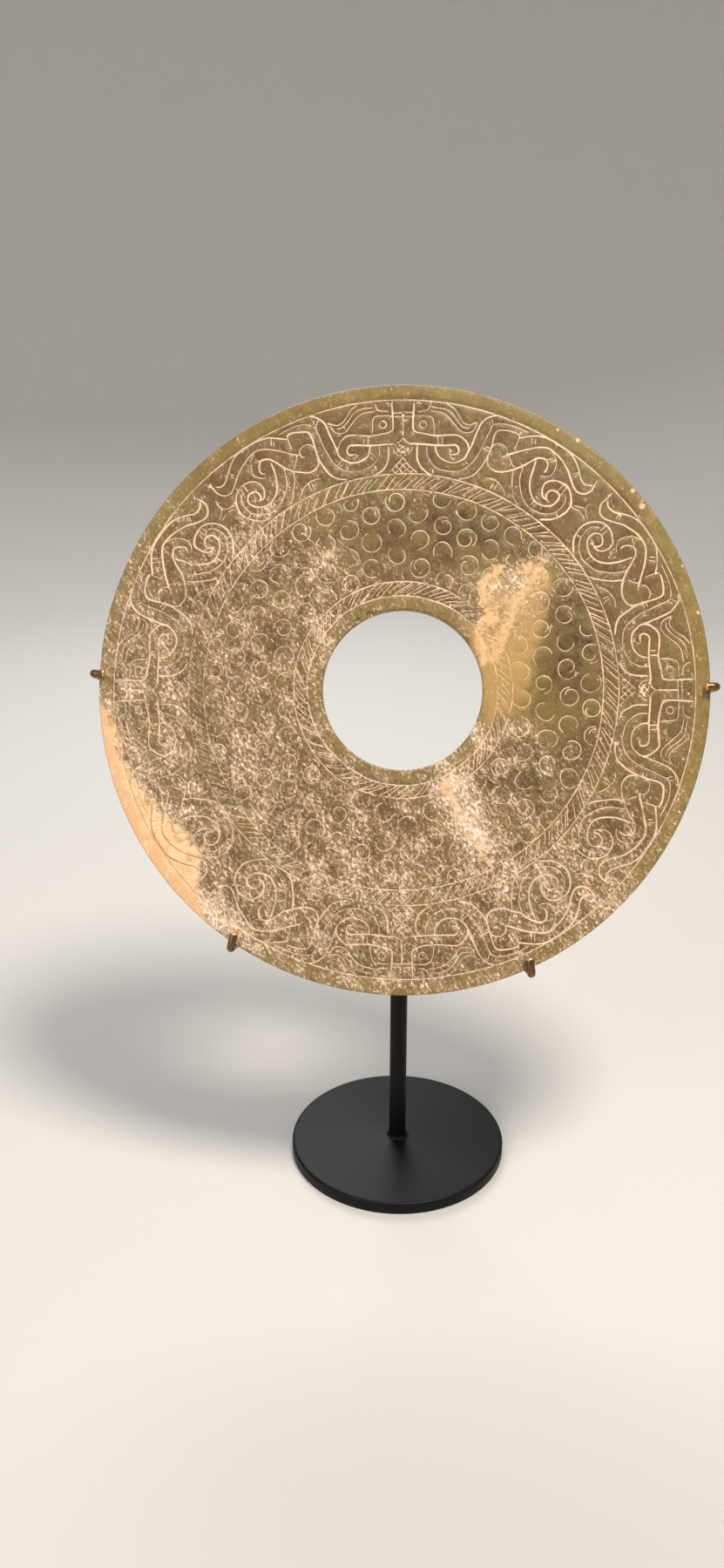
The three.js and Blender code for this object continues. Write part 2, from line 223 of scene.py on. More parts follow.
# Where burial has whitened the stone in flecks: x, y, width, height, turn and strength. They are added to a
# density that falls from the lower left to the upper right.
FLECKS_MIDDLE = 0.36
FLECKS_FALL = 0.16
FLECKS_AWAY = (0.6, 0.8)
FLECKED = [
    (-78, 5, 26, 18, 0, 0.04), (-68, -26, 20, 16, 0, 0.06), (-50, -78, 34, 18, -40, -0.03),
    (-8, -74, 40, 12, 0, 0.08), (-30, 48, 9, 8, 30, 0.25), (-58, 58, 9, 16, -40, 0.2),
    (62, -66, 22, 14, 40, 0.1), (78, -78, 20, 10, 48, 0.16), (27, -52, 7, 20, 30, 0.4),
    (20, -34, 8, 6, 0, 0.3), (44, -26, 12, 6, 0, 0.12), (-32, 24, 10, 14, 30, 0.14),
    (92, 46, 9, 20, -25, -0.05), (12, 57, 34, 10, 0, -0.3), (60, 8, 13, 22, 0, -0.4),
    (46, -6, 14, 9, 0, -0.3), (0, 98, 60, 14, 0, -0.12), (-70, 78, 24, 18, 45, -0.15),
    (100, 0, 10, 40, 0, -0.06), (75, 70, 25, 25, 0, -0.02), (0, -98, 44, 12, 0, -0.04),
    (42, 40, 16, 13, 0, 0.3), (-88, -54, 10, 26, 35, 0.04), (46, -14, 9, 4, 0, 0.4),
    (29, -16, 4, 9, 30, 0.3), (-76, -8, 24, 4, -84, -0.12), (-66, -42, 22, 4, -58, -0.12),
    (-72, -84, 17, 6, -42, 0.3),
]
# Where the carving is worn or grown over, in the same order, and the depth that is lost there
WORN = [
    (-88, -18, 30, 42, 0, 0.25), (-62, -66, 36, 26, -45, 0.2), (-72, 22, 22, 24, 0, 0.15),
    (-34, -56, 44, 22, 0, 0.05), (-5, -78, 40, 4, 0, 0.2), (-78, 0, 5, 46, 0, 0.25),
    (27, -50, 9, 20, 30, 0.45), (62, -60, 22, 14, 40, 0.1), (38, 6, 8, 20, 0, 0.4),
    (-36, 10, 16, 40, 0, 0.15), (37, 34, 12, 14, 0, 0.8),
]
MOST_WORN = 0.92
WORN_DEPTH = 0.7
# The cream patch beside the hole: ragged on its left, fading on its right, with a thinner crust further in
# and a dark gap
CREAM_OUTLINE = [
    (34.6, 48), (42, 46.5), (47, 49), (53, 50), (53, 42), (46, 35), (41, 24), (36, 11), (29.2, 9),
    (26.7, 18), (26.7, 26), (31.6, 29), (27.2, 32), (27.7, 41),
]
CREAM_FADE = {"left": 5, "right": 16, "from": 38, "to": 48}
CREAM_GAP = (40.4, 43, 2.0, 3.2, 25)
CRUST = {"most": 0.67, "thins": 0.045, "edge": 2}
# How far in from the rim the bleached patch at the lower left reaches, by degrees clockwise from the top
BLEACHED_RIM = {
    "degrees": (215, 220, 225, 230, 237, 244, 254, 265, 271),
    "reach": (-7, 1, 8, 18, 18, 13, 8, 5, -5),
    "elsewhere": -9,
    "fade": 13,
}
# The pale streak below the hole, and small orange-pink specks on the rim: x, y and size
STREAK_STRENGTH = 0.54
STREAKS = [
    (21.5, -46, 5.6, 10, 30), (30.5, -61, 4.6, 10, 30), (17, -36, 4.6, 5, 20),
]
SPECK_STRENGTH = 1.2
SPECKS = [
    (64.6, 94, 0.9), (85.4, 75.3, 1.0), (88.9, 69.4, 1.2), (110, 29.8, 0.8), (57, 98, 0.6),
    (104, 47, 0.6),
]
MOST_BLEACHED = 1.2
# Clearer, yellower stone, also on both plain rims, and darker brown stone where the strength is below 0
CLEAR = [
    (35, 38, 9, 11, 0, 0.9), (32, 16, 7, 11, 0, 0.9), (48, 28, 7, 14, -10, 1.0), (43, 6, 9, 18, 0, 1.0),
    (36, -8, 6, 9, 0, 0.5), (52, 42, 7, 6, 0, 0.8), (56, -10, 10, 8, 0, 0.3), (-40, 66, 10, 8, 0, 0.25),
    (4, -62, 14, 10, 0, 0.2), (63, 20, 9, 18, 0, -0.28), (20, 62, 20, 8, -10, -0.3),
    (-52, 44, 14, 10, 40, -0.3), (-25, -50, 30, 20, 0, -0.15), (44, -30, 13, 10, 0, -0.35),
    (93, -5, 18, 60, 0, 0.25),
]
RIM_CLEAR = 0.5
RIM_FULL = 0.8
RIM_STARTS = 0.4

# Mount
GAP = 0.3
ROD_RADIUS = 1.55
ROD_SIDES = 24
BEND_RADIUS = 1.9
BEND_STEPS = 8
# The filed end of a rod: how far back from its tip, and how much thinner it is there
ROD_TIP = [(0.8, 0), (0.45, 0.08), (0.2, 0.26), (0.05, 0.52), (0, 0.8)]
HUB_HEIGHT = 158.0
COLLAR_RADIUS = 5.2
COLLAR_BASE = 142.0
COLLAR_SHOULDER = 161.0
COLLAR_DOME = 2.6
COLLAR_EDGE = 0.4
COLLAR_SIDES = 40
SOCKET_DEPTH = 13.0
SOCKET_EDGE = 0.3
# Each claw's place on the rim and the way its tip points, in degrees, and its reach over the face
CLAWS = [
    {"rim": 89, "points": 270, "reach": 2.6},
    {"rim": 155, "points": 351, "reach": 4.4},
    {"rim": 213, "points": 13, "reach": 4.4},
    {"rim": 272.5, "points": 90, "reach": 2.6},
]
POST_RADIUS = 3.5
POST_EDGE = 0.6
WELD = 1.6
FOOT_RADIUS = 45.0
FOOT_THICKNESS = 5.0
FOOT_EDGE = 1.2
FOOT_UNDER_EDGE = 0.5
FOOT_SIDES = 96
METAL_CREASE = math.radians(35)

# The photograph's view: its size, the disc's middle and radius in it, and the camera's tilt and turn
PHOTO_SIZE = (831, 1800)
DISC_PIXEL = (462.0, 792.0)
DISC_PIXEL_RADIUS = 351.0
LENS = 27.6
SENSOR = 36.0
CAMERA_TILT = math.radians(20)
CAMERA_TURN = math.radians(1.8)

# Studio, in metres: the floor's flat middle, where its curve starts, the curve and its top, and each
# light's place, size, power in watts and colour
SWEEP = {"flat": 1.0, "curve_from": 1.1, "curve": 0.8, "top": 2.2, "sides": 96}
LIGHTS = {
    "key_light": ((0.32, -0.34, 1.2), 0.35, 15, "#fff6ea"),
    "fill_light": ((-0.9, -0.9, 0.7), 0.8, 6, "#f6f7ff"),
    "back_light": ((-0.2, 0.95, 1.0), 0.7, 9, "#ffffff"),
}
AIR_COLOUR = "#e9ecf0"
AIR_STRENGTH = 0.4


# Lines in the disc's plane

def on_disc(degrees, radius):
    """A point in the disc's plane, clockwise from the top as the carved face is seen."""
    angle = np.radians(degrees)
    return np.stack((radius * np.sin(angle), radius * np.cos(angle)), axis=-1)


def lengths_along(line):
    """How far along the line each of its points lies."""
    return np.concatenate(([0], np.cumsum(np.hypot(*np.diff(line, axis=0).T))))


def evenly(line, spacing):
    """The line again, with points at an even spacing."""
    along = lengths_along(line)
    at = np.linspace(0, along[-1], max(2, round(along[-1] / spacing) + 1))
    return np.column_stack([np.interp(at, along, line[:, axis]) for axis in (0, 1)])


def smooth_line(points, steps=12):
    """A Catmull-Rom line through the points."""
    points = np.asarray(points, float)
    ends = np.vstack((2 * points[0] - points[1], points, 2 * points[-1] - points[-2]))
    share = np.linspace(0, 1, steps, endpoint=False)[:, None]
    stretches = [
        0.5 * (2 * b + (c - a) * share + (2 * a - 5 * b + 4 * c - d) * share**2
               + (3 * b - a - 3 * c + d) * share**3)
        for a, b, c, d in zip(ends, ends[1:], ends[2:], ends[3:])
    ]
    return evenly(np.vstack(stretches + [points[-1:]]), STATION)


@dataclass
class Cut:
    """A carved line: its middle, half its width and the deposit in it along the way, and its depth."""
    line: np.ndarray
    half: np.ndarray
    deposit: np.ndarray
    depth: float

    def rails(self):
        """Points along the bottom, the sides and both edges of the cut."""
        ahead = np.gradient(self.line, axis=0)
        across = np.column_stack((-ahead[:, 1], ahead[:, 0])) / np.hypot(*ahead.T)[:, None]
        rows = (-1, -0.5, 0, 0.5, 1) if self.half.max() > BROAD_CUT else (-1, 0, 1)
        return np.vstack([self.line + across * (self.half * row)[:, None] for row in rows])

    def share_at(self, points, most_at_once=400_000):
        """The points near the cut, how deep each lies in it, from 0 at its edge to 1 along its middle, and
        how much deposit it has there. Distances are worked out in batches, to spare memory."""
        reach = self.half.max()
        low, high = self.line.min(0) - reach, self.line.max(0) + reach
        near = np.flatnonzero(((points >= low) & (points <= high)).all(1))
        share = np.zeros(len(near))
        deposit = np.zeros(len(near))
        start, step = self.line[:-1], np.diff(self.line, axis=0)
        for batch in np.array_split(np.arange(len(near)), max(1, len(near) * len(step) // most_at_once)):
            offset = points[near[batch], None] - start
            along = np.clip((offset * step).sum(2) / (step**2).sum(1), 0, 1)
            distance = np.hypot(*(offset - along[:, :, None] * step).transpose(2, 0, 1))
            half = self.half[:-1] + along * np.diff(self.half)
            inside = np.clip(1 - (distance / half) ** 2, 0, 1)
            share[batch] = inside.max(1)
            deposit[batch] = self.deposit[inside.argmax(1)]
        return near, share, share * deposit


def cut_along(line, width, depth, deposit, tapered=True):
    """A cut along a line, a little uneven in width, running out at its ends like a wheel-cut line."""
    along = lengths_along(line)
    half = np.full(len(line), width / 2) * rng.uniform(*WIDTH_VARIES)
    if tapered:
        half *= np.clip(BLUNT_END + np.minimum(along, along[-1] - along) / RUN_OUT, 0, 1)
    patchy = np.interp(along, np.arange(0, along[-1] + 2 * PATCHY, PATCHY),
                       rng.uniform(*DEPOSIT_VARIES, math.ceil(along[-1] / PATCHY + 2)))
    return Cut(line, half, deposit * patchy, depth * rng.uniform(*DEPTH_VARIES))


def hand_placed(points):
    """The points, each a little off, as a hand leaves them."""
    return np.asarray(points) + rng.normal(0, HAND, (len(points), 2))


# What is carved on the disc

def ring_cuts():
    """The ring lines, drawn by hand and so a little out of round."""
    cuts = []
    for radius in RING_LINES:
        degrees = np.linspace(0, 360, round(2 * math.pi * radius / STATION) + 1)
        waves = sum(size * np.sin(np.radians(count * degrees + rng.uniform(0, 360)))
                    for count, size in RING_WAVES)
        cuts.append(cut_along(on_disc(degrees, radius + RING_WOBBLE * waves), **RING, tapered=False))
    return cuts


def rope_cuts(inner, outer, strands, advance):
    """Slanting strokes between two ring lines, unevenly spaced as a hand leaves them."""
    cuts = []
    for strand in range(strands):
        degrees = (strand + rng.uniform(*STRAND_PLACE)) * 360 / strands
        slant = advance * rng.uniform(*STRAND_SLANT)
        start = inner + rng.uniform(*STRAND_SHORT)
        stop = outer - rng.uniform(*STRAND_SHORT)
        angles = degrees + slant * np.array((0, 0.5, 1))
        points = on_disc(angles, np.array((start, (start + stop) / 2, stop)))
        cuts.append(cut_along(smooth_line(hand_placed(points)), **STRAND))
    return cuts


def grain_centres():
    """A triangular grid of grains, with those that the ring lines cut in half."""
    column_pitch = GRAIN_PITCH * math.sin(math.pi / 3)
    reach = math.ceil(OUTER_ROPE["inner"] / column_pitch)
    cosine, sine = math.cos(GRAIN_TURN), math.sin(GRAIN_TURN)
    turn = np.array(((cosine, sine), (-sine, cosine)))
    centres = []
    for column in range(-reach, reach + 1):
        for row in range(-reach, reach + 1):
            place = np.array((column * column_pitch, (row + 0.5 * (column % 2)) * GRAIN_PITCH))
            if INNER_ROPE["outer"] + GRAIN_MARGIN < np.hypot(*place) < OUTER_ROPE["inner"] - GRAIN_MARGIN:
                centres.append(place @ turn + rng.normal(0, GRAIN_SHIFT, 2))
    return np.array(centres)


def grain_cuts(centres):
    """A curl round each grain, some closing to a small hook inside, kept to the field between the ropes."""
    cuts = []
    for centre in centres:
        hook = rng.choice((0, HOOK), p=(1 - HOOKED_SHARE, HOOKED_SHARE))
        turns = rng.uniform(*(HOOKED_TURNS if hook else OPEN_TURNS))
        share = np.linspace(0, 1, CURL_POINTS)
        hooked = np.clip((share - HOOK_START) / (1 - HOOK_START), 0, 1)
        wave = CURL_WAVE * np.sin(2 * math.pi * (share * rng.uniform(*CURL_WAVES) + rng.uniform()))
        radius = GRAIN_RADIUS * rng.uniform(*CURL_SIZE) + wave - hook * hooked**HOOK_BEND
        angle = rng.uniform(0, 360) + rng.choice((-1, 1)) * 360 * turns * share
        line = evenly(centre + on_disc(angle, radius), STATION)
        distance = np.hypot(*line.T)
        inside = ((distance > INNER_ROPE["outer"] + CURL_MARGIN)
                  & (distance < OUTER_ROPE["inner"] - CURL_MARGIN))
        for run in np.split(np.arange(len(line)), np.flatnonzero(~inside)):
            run = run[inside[run]]
            if len(run) >= FEWEST_POINTS:
                cuts.append(cut_along(line[run], **CURL))
    return cuts


def on_mask(points, middle, side):
    """Points of half a mask, placed by hand on one side of the mask's middle line."""
    degrees, radius = np.asarray(points, float).T
    return hand_placed(on_disc(middle + side * degrees, radius))


def mask_cuts(middle):
    """One mask and both halves of its body, mirrored about the mask's middle line."""
    cuts = []
    for side in (-1, 1):
        placed = partial(on_mask, middle=middle, side=side)
        cuts += [cut_along(smooth_line(placed(points)), **WIDE) for points in WIDE_STROKES.values()]
        cuts += [cut_along(smooth_line(placed(points)), **FINE) for points in FINE_STROKES.values()]
        cuts += [cut_along(evenly(placed(points), STATION), **FINE) for points in TICKS]
        round_pupil = on_disc(np.linspace(0, 360, PUPIL["sides"] + 1), PUPIL["size"])
        pupil = on_disc(middle + side * PUPIL["angle"], PUPIL["radius"]) + round_pupil
        cuts.append(cut_along(pupil, **FINE, tapered=False))
        cuts += [cut_along(evenly(placed(points), STATION), **STRAND) for points in beard_lines(**BEARD)]
    return cuts


def beard_lines(tip, base, spread, lines, bow_at, bow):
    """The small triangle under the chin: its bowed side, and lines across it parallel to the other side."""
    yield [(0, tip), (spread * bow_at, tip - (tip - base) * bow), (spread, base)]
    for line in range(1, lines + 1):
        share = line / (lines + 1)
        yield [(spread * share, tip + (base - tip) * share), (spread * (2 * share - 1), base)]


# Relief and patina at any point of a face

def falling(value, full, none):
    """1 up to full, smoothly down to 0 at none, in either direction."""
    share = np.clip((value - none) / (full - none), 0, 1)
    return share * share * (3 - 2 * share)


def spot(points, x, y, wide, high, turn=0.0):
    """A soft oval, 1 at its middle."""
    angle = math.radians(turn)
    dx, dy = points[:, 0] - x, points[:, 1] - y
    along = dx * math.cos(angle) + dy * math.sin(angle)
    across = dy * math.cos(angle) - dx * math.sin(angle)
    return np.exp(-((along / wide) ** 2 + (across / high) ** 2))


def spots(points, places):
    """Soft ovals added up, each with its strength last."""
    return sum(strength * spot(points, *place) for *place, strength in places)


def depth_inside(points, outline):
    """How far in from an outline each point lies, less than 0 outside it."""
    start = np.asarray(outline, float)
    step = np.roll(start, -1, axis=0) - start
    offset = points[:, None] - start
    along = np.clip((offset * step).sum(2) / (step**2).sum(1), 0, 1)
    distance = np.hypot(*(offset - along[:, :, None] * step).transpose(2, 0, 1)).min(1)
    level = offset[:, :, 1] / step[:, 1]
    crossed = (level >= 0) & (level < 1) & (offset[:, :, 0] < level * step[:, 0])
    return np.where(crossed.sum(1) % 2 == 1, distance, -distance)


def relief(points, cuts, centres):
    """Height of a face at each point, and how far each point lies in a carved line."""
    radius = np.hypot(*points.T)
    in_field = 1
    for edge, way in ((OUTER_ROPE["inner"], -1), (INNER_ROPE["outer"], 1)):
        in_field = in_field * falling(radius, edge + way * STEP_INSIDE, edge - way * STEP_OUTSIDE)
    height = -FIELD_SINK * in_field
    for centre in centres:
        near = np.flatnonzero((np.abs(points - centre) < GRAIN_RADIUS).all(1))
        distance = np.hypot(*(points[near] - centre).T) / GRAIN_RADIUS
        height[near] += GRAIN_RISE * np.clip(1 - distance**2, 0, 1) * in_field[near]
    depth = np.zeros(len(points))
    cut_share = np.zeros(len(points))
    for cut in cuts:
        near, share, deposit = cut.share_at(points)
        depth[near] = np.maximum(depth[near], cut.depth * share)
        cut_share[near] = np.maximum(cut_share[near], deposit)
    worn = np.clip(spots(points, WORN), 0, MOST_WORN)
    return height - depth * (1 - WORN_DEPTH * worn), cut_share * (1 - worn)


def cream_patch(points):
    """How bleached the patch beside the hole is, half at its outline."""
    inside = depth_inside(points, CREAM_OUTLINE)
    to_right = falling(points[:, 0], CREAM_FADE["to"], CREAM_FADE["from"])
    fade = CREAM_FADE["left"] + (CREAM_FADE["right"] - CREAM_FADE["left"]) * to_right
    thinner = CRUST["thins"] * np.maximum(inside - CRUST["edge"], 0)
    return np.minimum(0.5 + inside / fade, CRUST["most"]) - thinner - spot(points, *CREAM_GAP)


def rim_patch(points):
    """How bleached the rim is, half where its patch ends."""
    x, y = points.T
    degrees = np.degrees(np.arctan2(x, y)) % 360
    reach = np.interp(degrees, BLEACHED_RIM["degrees"], BLEACHED_RIM["reach"],
                      left=BLEACHED_RIM["elsewhere"], right=BLEACHED_RIM["elsewhere"])
    return 0.5 + (reach - DISC_RADIUS + np.hypot(x, y)) / BLEACHED_RIM["fade"]


def patina(points):
    """Shares of each finish at each point: white flecks, bleached stone and clear stone."""
    flecks = FLECKS_MIDDLE - FLECKS_FALL * (points @ FLECKS_AWAY) / DISC_RADIUS + spots(points, FLECKED)
    streak = STREAK_STRENGTH * sum(spot(points, *place) for place in STREAKS)
    specks = SPECK_STRENGTH * sum(spot(points, x, y, size, size) for x, y, size in SPECKS)
    bleached = np.maximum.reduce((cream_patch(points), rim_patch(points), streak, specks))
    clear = spots(points, CLEAR)
    for edge, way in ((RIM_LINE, 1), (INNER_ROPE["inner"], -1)):
        clear += RIM_CLEAR * falling(np.hypot(*points.T), edge + way * RIM_FULL, edge - way * RIM_STARTS)
    return {"flecks": flecks, "bleached": np.clip(bleached, 0, MOST_BLEACHED), "clear": clear}


# The disc's mesh

def thinned(points, gap):
    """Drops points that crowd an earlier one, by two grids set half a cell apart."""
    for shift in (0, 0.5):
        _, first = np.unique(np.floor(points / gap + shift), axis=0, return_index=True)
        points = points[np.sort(first)]
    return points


def between_edges(points, margin):
    """The points that lie on the flat of a face, at least the margin from its edges."""
    radius = np.hypot(*points.T)
    inside_rim = radius < DISC_RADIUS - EDGE_ROUND - margin
    outside_hole = radius > HOLE_RADIUS + EDGE_ROUND + margin
    return points[inside_rim & outside_hole]


def filling(held, spacing, gap):
    """Points between the carved lines, on a jittered grid, kept clear of the points already held."""
    tree = kdtree.KDTree(len(held))
    for index, (x, y) in enumerate(held):
        tree.insert((x, y, 0), index)
    tree.balance()
    steps = np.arange(-DISC_RADIUS, DISC_RADIUS, spacing)
    grid = np.stack(np.meshgrid(steps, steps), axis=-1).reshape(-1, 2)
    grid += rng.uniform(-FILL_JITTER, FILL_JITTER, grid.shape) * spacing
    return np.array([point for point in between_edges(grid, gap) if tree.find((*point, 0))[2] > gap])


def carved_face(cuts, centres, spacing):
    """A flat ring joined into triangles through every carved line, then cut to depth."""
    turn = np.linspace(0, 360, RIM_STATIONS, endpoint=False)
    hole_turn = np.linspace(0, 360, HOLE_STATIONS, endpoint=False)
    hole_edge = HOLE_RADIUS + EDGE_ROUND
    loops = np.vstack((on_disc(turn, DISC_RADIUS - EDGE_ROUND), on_disc(hole_turn, hole_edge)))
    rails = np.vstack([cut.rails() for cut in cuts])
    small = [(*on_disc(degrees, radius), size) for degrees, radius, _, size in CHIPS] + SPECKS
    circles = np.vstack([(x, y) + on_disc(SPOT_DEGREES, size * share)
                         for x, y, size in small for share in SPOT_RINGS])
    details = between_edges(np.vstack((rails, circles)), CLEAR_OF_EDGE)
    held = np.vstack((loops, thinned(details, CROWDED)))
    points = np.vstack((held, filling(held, spacing, spacing * FILL_GAP)))
    corners = [Vector(point) for point in points]
    placed, _, faces, came_from, _, _ = geometry.delaunay_2d_cdt(corners, [], [], 0, TINY)
    points = np.array(placed)
    faces = np.array(faces)
    middle = np.hypot(*points[faces].mean(1).T)
    faces = faces[middle > hole_edge * math.cos(math.pi / HOLE_STATIONS)]
    found = {source: index for index, sources in enumerate(came_from) for source in sources}
    loop_index = np.array([found[i] for i in range(len(loops))])
    height, cut_share = relief(points, cuts, centres)
    return points, faces, height, cut_share, np.split(loop_index, [RIM_STATIONS])


def edge_rows():
    """The rounded edge from the front face to the back: how far out, and how deep, as rows of points."""
    quarter = np.linspace(0, math.pi / 2, EDGE_STEPS + 1)[1:]
    rows = [(EDGE_ROUND * math.sin(a), EDGE_ROUND * (1 - math.cos(a))) for a in quarter]
    rows.append((EDGE_ROUND * EDGE_BULGE, DISC_THICKNESS / 2))
    return rows + [(out, DISC_THICKNESS - down) for out, down in reversed(rows[:-1])]


def chipped(points):
    """Pushes points out of the small scoops that chips have left in the edges."""
    for degrees, radius, height, size in CHIPS:
        middle = np.array((*on_disc(degrees, radius), height))
        away = points - middle
        distance = np.linalg.norm(away, axis=1)
        inside = distance < size
        points[inside] = middle + away[inside] * (size / np.maximum(distance[inside], TINY))[:, None]
    return points


def edge_faces(loops, out):
    """Faces from each loop of points to the next, round an edge that faces out (1) or in (-1)."""
    faces = []
    for upper, lower in zip(loops, loops[1:]):
        quads = np.column_stack((upper, np.roll(upper, -1), np.roll(lower, -1), lower))
        faces += quads[:, ::out].tolist()
    return faces


def disc_mesh():
    """Both carved faces and the rounded edges between them, with the patina as attributes."""
    centres = grain_centres()
    borders = ring_cuts() + rope_cuts(**OUTER_ROPE) + rope_cuts(**INNER_ROPE)
    all_cuts = borders + grain_cuts(centres)
    for mask in range(MASKS):
        all_cuts += mask_cuts(FIRST_MASK + mask * 360 / MASKS)
    front, front_faces, front_height, front_cut, front_loops = carved_face(all_cuts, centres, FRONT_SPACING)
    back, back_faces, back_height, back_cut, back_loops = carved_face(borders, centres, BACK_SPACING)

    places = [np.column_stack((front, front_height)),
              np.column_stack((back, -DISC_THICKNESS - back_height))]
    faces = front_faces.tolist() + (back_faces[:, ::-1] + len(front)).tolist()
    count = len(front) + len(back)
    starts = (DISC_RADIUS - EDGE_ROUND, HOLE_RADIUS + EDGE_ROUND)
    for start, out, front_loop, back_loop in zip(starts, (1, -1), front_loops, back_loops):
        stations = len(front_loop)
        turn = np.linspace(0, 360, stations, endpoint=False)
        loops = [front_loop]
        for offset, depth in edge_rows():
            row = on_disc(turn, start + out * offset)
            places.append(np.column_stack((row, np.full(stations, -depth))))
            loops.append(np.arange(count, count + stations))
            count += stations
        faces += edge_faces([*loops, back_loop + len(front)], out)
    places = chipped(np.vstack(places))
    cut_share = np.zeros(count)
    cut_share[:len(front) + len(back)] = np.concatenate((front_cut, back_cut))

    mesh = bpy.data.meshes.new("jade_disc_carved")
    mesh.from_pydata((places * MM).tolist(), [], faces)
    for name, values in {"cut": cut_share, **patina(places[:, :2])}.items():
        mesh.attributes.new(name, "FLOAT", "POINT").data.foreach_set("value", values.astype(np.float32))
    mesh.shade_smooth()
    mesh.set_sharp_from_angle(angle=CREASE)
    return mesh


# Materials

def linear(code):
    """An sRGB hex colour as linear red, green, blue and alpha."""
    shares = [int(code[i:i + 2], 16) / 255 for i in (1, 3, 5)]
    return (*(s / 12.92 if s <= 0.04045 else ((s + 0.055) / 1.055) ** 2.4 for s in shares), 1.0)


def per_mm(size):
    """A pattern's scale for features of this size in millimetres, on coordinates in metres."""
    return 1 / (size * MM)


def add_node(tree, kind, inputs, output=0, **settings):
    """Adds a node with its settings, its inputs set to values or linked to sockets; returns one output."""
    node = tree.nodes.new(kind)
    for name, value in settings.items():
        setattr(node, name, value)
    for name, value in inputs.items():
        if isinstance(value, bpy.types.NodeSocket):
            tree.links.new(value, node.inputs[name])
        else:
            node.inputs[name].default_value = value
    return node.outputs[output] if node.outputs else None


def new_material(name):
    """A material with nothing in it yet, and its way of adding nodes."""
    material = bpy.data.materials.new(name)
    material.use_nodes = True
    material.node_tree.nodes.clear()
    return material, partial(add_node, material.node_tree)


# A colour Mix node's sockets share their names, so they are taken by number.
SHARE, BELOW, ABOVE, MIXED = 0, 6, 7, 2

# Jade: the way its fibres run, how much its flecks are drawn out along them, and how strongly they gather
FIBRE_TURN = math.radians(-58)
FIBRE_STRETCH = 1.6
CLUSTER_WEIGHT = 1.1
# Patterns in the stone: whether they are drawn out, size in mm, detail, roughness and distortion. The real
# fibres and dust are finer than 0.1 mm, and are drawn as coarse as they need to show.
STONE_PATTERNS = {
    "clouds": (False, 20, 4, 0.55, 0),
    "mottles": (False, 4.5, 5, 0.68, 0.5),
    "clusters": (True, 6, 5, 0.66, 0.4),
    "flecks": (True, 1.1, 4, 0.64, 0.5),
    "specks": (False, 0.5, 2, 0.5, 0),
    "fine": (False, 0.8, 3, 0.65, 0),
    "ragged": (False, 2.6, 6, 0.72, 0.6),
    "warmth": (False, 11, 2, 0.5, 0),
    "crumbs": (True, 0.9, 2, 0.5, 0.4),
    "dust": (False, 0.6, 2, 0.5, 0),
}
# Shares that follow a pattern alone: the pattern, where the share starts and is full, and its most
PATTERN_SHARES = {
    "cloud": ("clouds", 0.38, 0.62, 1),
    "warm": ("warmth", 0.42, 0.6, 1),
    "pit": ("fine", 0.5, 0.7, 0.65),
    "tawny": ("mottles", 0.44, 0.68, 1),
}
# Shares that also follow the patina: what they follow and how strongly, then the same
PATINA_SHARES = {
    "dark": ("clear", -0.4, "mottles", 0.46, 0.76, 0.85),
    "fibre": ("clear", -0.1, "fine", 0.42, 0.66, 0.4),
    "clear": ("clear", 1.0, "mottles", 0.5, 1.5, 1),
    "golden": ("clear", 1.0, "mottles", 0.9, 1.6, 1),
    "rosy": ("clear", 1.0, "mottles", 0.75, 1.05, 1),
    "bloom": ("flecks", 0.5, "clusters", 0.64, 1.0, 0.5),
    "haze": ("patchy", 0.4, "flecks", 0.79, 1.07, 0.78),
    "dust": ("patchy", 0.4, "dust", 0.94, 1.12, 0.6),
    "core": ("patchy", 0.4, "flecks", 0.9, 1.11, 0.9),
    "bright": ("patchy", 0.4, "crumbs", 0.95, 1.15, 0.9),
    "speck": ("patchy", 0.14, "specks", 0.75, 0.87, 0.85),
    "bleached": ("bleached", 0.8, "ragged", 0.84, 1.06, 1),
    "line": ("cut", 1.05, "ragged", 0.64, 1.3, 0.95),
}
# Tints that vary: the share that each follows, and what it goes between, a colour or an earlier tint, and
# then a colour
STONE_TINTS = {
    "cream": ("tawny", "#f3cda2", "#d9ad78"),
    "rosy_cream": ("rosy", "cream", "#e2b585"),
    "pitted_cream": ("pit", "rosy_cream", "#c3955f"),
    "yellow_stone": ("golden", "#857335", "#b48f54"),
    "deposit": ("warm", "#d4c0a4", "#f3cca9"),
    "line_fill": ("bleached", "deposit", "#b98a55"),
}
# Layers over the body of the stone, outwards: the share of each, and its colour or tint
STONE_BODY = "#6b5128"
STONE_LAYERS = {
    "cloud": "#7a6734",
    "dark": "#402a10",
    "clear": "yellow_stone",
    "fibre": "#422b11",
    "bloom": "#8a7150",
    "haze": "#957a56",
    "dust": "#b59670",
    "core": "#cfb08f",
    "bright": "#fae3cb",
    "speck": "#dcbf9a",
    "bleached": "pitted_cream",
    "line": "line_fill",
}
# Roughness of the polish, how much rougher flecks and bleached stone are, and how far flecks lie below it
WAXY = 0.48
CHALKY = 0.18
FLECKS_PITTED = -0.5


def stone_patterns(add):
    """The patterns that run through the stone."""
    place = add("ShaderNodeTexCoord", {}, "Object")
    drawn_out = add("ShaderNodeMapping", {"Vector": place, "Rotation": (0, 0, FIBRE_TURN),
                                          "Scale": (FIBRE_STRETCH, 1, 1)}, vector_type="TEXTURE")
    noise = {}
    for name, (stretched, size, detail, rough, distortion) in STONE_PATTERNS.items():
        noise[name] = add("ShaderNodeTexNoise", {
            "Vector": drawn_out if stretched else place, "Scale": per_mm(size), "Detail": detail,
            "Roughness": rough, "Distortion": distortion})
    return noise


